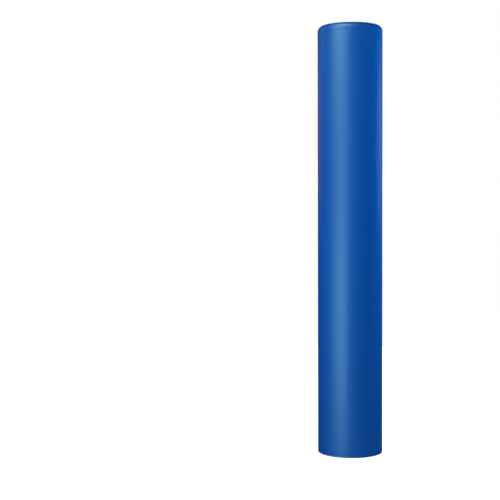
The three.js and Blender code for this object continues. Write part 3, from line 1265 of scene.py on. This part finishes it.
def lay_on(sheet, line, side=outwards):
    """Casts each point of a line back at a sheet from the side that the seam shows on."""
    corners = [vertex.co for vertex in sheet.data.vertices]
    tree = BVHTree.FromPolygons(corners, [polygon.vertices for polygon in sheet.data.polygons])
    laid = []
    for point in line:
        away = side(point)
        place, normal, _, _ = tree.ray_cast(point + away * RAY_START, -away)
        if place:
            laid.append(place + normal * PROUD)
    return laid


def sew(name, seams, body):
    """Sews along several laid lines, and joins the stitches into one piece."""
    rows = [grow(f"{name}_{i}", seam, running_stitch, thread) for i, seam in enumerate(seams)]
    with bpy.context.temp_override(active_object=rows[0], selected_editable_objects=rows):
        bpy.ops.object.join()
    rows[0].name = name
    hand_over(rows[0], body=body)


# %% [markdown]
# On the flap, one seam follows the hem round its free edge, and one shows where its tape is sewn on.
# Two run up the strip that is sewn to the left half, and two up each tape. All could be one piece,
# but each has to ride on the body that carries its sheet. The loop tape's seams are cast from inside,
# because that is the side that they show on.

# %% Seams of the flap and the tapes
HEM_SETBACK = 7 * MM
TAPE_INSET = 1.6 * MM
FOLD_SETBACK = 1 * MM
STRIP_SETBACK = 4 * MM
STRIP_EDGE_SETBACK = 3 * MM
tape_ends = (tape_box[0].z, tape_box[1].z)
flap_ends = (flap_box[0].z, flap_box[1].z)
hem_reach = (FOLD_SETBACK, FREE_ARC - HEM_SETBACK)
hem_heights = (flap_ends[0] + HEM_SETBACK, flap_ends[1] - HEM_SETBACK)
hem_seam = rounded_line(hem_reach, hem_heights, FLAP_CORNER - HEM_SETBACK)
tape_seam = upright_line(TAPE_ARCS[0] + TAPE_INSET, *tape_ends, TAPE_INSET)
sew("flap_hem_stitches", [lay_on(flap, hem_seam), lay_on(flap, tape_seam)], "flap")

strip_arcs = (STRIP_ARC + STRIP_EDGE_SETBACK, HINGE_ARC - STRIP_SETBACK)
strip_seams = [upright_line(along, *flap_ends, STRIP_SETBACK) for along in strip_arcs]
sew("strip_stitches", [lay_on(flap, seam) for seam in strip_seams], "left_half")

tape_edges = (TAPE_ARCS[0] + TAPE_INSET, TAPE_ARCS[1] - TAPE_INSET)
tape_seams = [upright_line(along, *tape_ends, TAPE_INSET) for along in tape_edges]
sew("hook_tape_stitches", [lay_on(hook_base, seam) for seam in tape_seams], "right_half")
loop_seams = [lay_on(loop_base, seam, lambda point: -outwards(point)) for seam in tape_seams]
sew("loop_tape_stitches", loop_seams, "flap")

# %% [markdown]
# The facings are sewn to the cover along the slit and the fold. The seam beside the slit goes through
# its band, and those on the facings are cast from the side of the other half. What is sewn on one
# half is joined into one piece, because all of it rides together.

# %% Seams beside the slit and on the facings
EDGE_SETBACK = 4 * MM
facing_ends = (COLLAR_ROUND + EDGE_SETBACK, pad_height - SHOULDER_ROUND - EDGE_SETBACK)
for side, sign in {"left": -1, "right": 1}.items():
    edge = upright_line(sign * EDGE_SETBACK, wall_low, wall_high, EDGE_SETBACK)
    seams = [lay_on(slit_bands[side], edge)]
    for name, front in FACING_FRONTS.items():
        x, y = sign * slit_half, front * (core_outer - EDGE_SETBACK)
        line = finely([Vector((x, y, height)) for height in facing_ends])
        seams.append(lay_on(facings[name, side], line, lambda point: Vector((-sign, 0, 0))))
    sew(f"edge_stitches_{side}", seams, f"{side}_half")

# %% [markdown]
# ## Stage and light
#
# The pad stands on pale ground in a white studio. One picture of a studio all round could light it,
# but single soft boxes can be moved and dimmed one at a time. Some are seen only as a shine on the
# vinyl and others only light its colour, so that its highlights and its shading can be set apart.
# Two wide ones to the left of the camera draw the broad upright band of shine, one high up carries
# it over the shoulder, and small ones behind the pad draw thin lines of light down both edges.

# %% Make the lights
WHITE = (1.0, 1.0, 1.0)
WARM_YELLOW = (0.75, 1.0, 0.01)
WARM_RED = (1.0, 0.02, 0.01)
WIDE = (2.2, 0.6)
LESS_WIDE = (1.0, 0.6)
SHALLOW = (1.2, 0.4)
TALL = (0.6, 1.2)
TALLEST = (1.0, 2.0)
SMALL = (0.3, 0.6)


def soft_box(name, use, size, colour=WHITE, *, azimuth, distance, height, power, aim=None):
    """A flat light that faces the pad's axis. Azimuth is in degrees from the camera, to the right."""
    data = bpy.data.lights.new(name, "AREA")
    data.shape = "RECTANGLE"
    data.size, data.size_y = size
    data.energy = power
    data.color = colour
    lamp = bpy.data.objects.new(name, data)
    angle = radians(azimuth)
    lamp.location = (distance * sin(angle), -distance * cos(angle), height)
    target = Vector((0, 0, height if aim is None else aim))
    lamp.rotation_euler = (lamp.location - target).to_track_quat("Z", "Y").to_euler()
    lamp.visible_camera = False
    lamp.visible_glossy = use != "shading"
    lamp.visible_diffuse = use != "shine"
    scene.collection.objects.link(lamp)
    print(name, "box for", use, "at", [round(value, 2) for value in lamp.location])


soft_box("shine_high", "shine", WIDE, azimuth=-38, distance=2.4, height=2.0, power=53)
soft_box("shine_low", "shine", WIDE, azimuth=-38, distance=2.4, height=0.2, power=21.5)
soft_box("shine_front", "shine", LESS_WIDE, azimuth=-26, distance=2.4, height=0.2, power=11)
above = {"height": 2.34, "aim": pad_height}
soft_box("shine_shoulder", "shine", SHALLOW, azimuth=-35, distance=0.8, power=25, **above)
soft_box("rim_right", "shine", SMALL, azimuth=132, distance=1.6, height=1.0, power=0.6)
soft_box("rim_left_high", "shine", SMALL, WARM_YELLOW, azimuth=-112, distance=1.6, height=1.6, power=1.17)
soft_box("rim_left_low", "shine", SMALL, WARM_RED, azimuth=-136, distance=1.6, height=1.0, power=1.02)
soft_box("fill_left", "shading", LESS_WIDE, azimuth=-40, distance=2.4, height=2.0, power=19.4)
soft_box("fill_front", "shading", LESS_WIDE, azimuth=-26, distance=2.4, height=0.8, power=72)
soft_box("fill_right", "shading", TALL, azimuth=60, distance=2.0, height=1.8, power=24.5)
soft_box("fill_right_side", "shading", SMALL, azimuth=116, distance=1.6, height=1.0, power=57)
soft_box("fill_left_side", "shading", SMALL, azimuth=-112, distance=1.6, height=1.6, power=16)
soft_box("back", "both", TALLEST, azimuth=180, distance=2.4, height=1.0, power=40)

# %% [markdown]
# The photograph's ground and background are plain white. They could be a white sheet under strong
# lights, but it would throw light back on the pad, and its dark side would turn grey. So both are
# white only for what the camera sees directly: the ground glows for the camera alone, and the sky
# lights the pad at a low level.

# %% Make the ground and the sky
GROUND_REACH = 30.0
GROUND_GLOW = 1.0
GROUND_GREY = (0.2, 0.2, 0.2)
SKY_LEVEL = 0.08
SQUARE_CORNERS = ((-1, -1), (1, -1), (1, 1), (-1, 1))


def seen_by_camera(tree):
    """1 for what the camera sees directly, and 0 for light on its way."""
    return value_of(tree, "ShaderNodeLightPath", output="Is Camera Ray")


ground_mesh = bpy.data.meshes.new("ground")
corners = [(x * GROUND_REACH, y * GROUND_REACH, 0) for x, y in SQUARE_CORNERS]
ground_mesh.from_pydata(corners, [], [(0, 1, 2, 3)])
ground = bpy.data.objects.new("ground", ground_mesh)
scene.collection.objects.link(ground)
ground_finish = {"Base_Color": (*GROUND_GREY, 1), "Roughness": 0.9, "Specular_IOR_Level": 0.0}
ground_material, ground_tree, ground_shader = new_material("pale_ground", **ground_finish)
ground_shader.inputs["Emission Color"].default_value = (*WHITE, 1)
feed(ground_tree, ground_shader.inputs["Emission Strength"], seen_by_camera(ground_tree) * GROUND_GLOW)
ground_mesh.materials.append(ground_material)
ground.visible_glossy = False

world = bpy.data.worlds.new("studio")
world.use_nodes = True
background = world.node_tree.nodes["Background"]
background.inputs["Color"].default_value = (*WHITE, 1)
level = seen_by_camera(world.node_tree) * (1.0 - SKY_LEVEL) + SKY_LEVEL
feed(world.node_tree, background.inputs["Strength"], level)
world.cycles_visibility.glossy = False
scene.world = world
scene.view_settings.view_transform = "Standard"
print("sky level for the pad:", SKY_LEVEL)
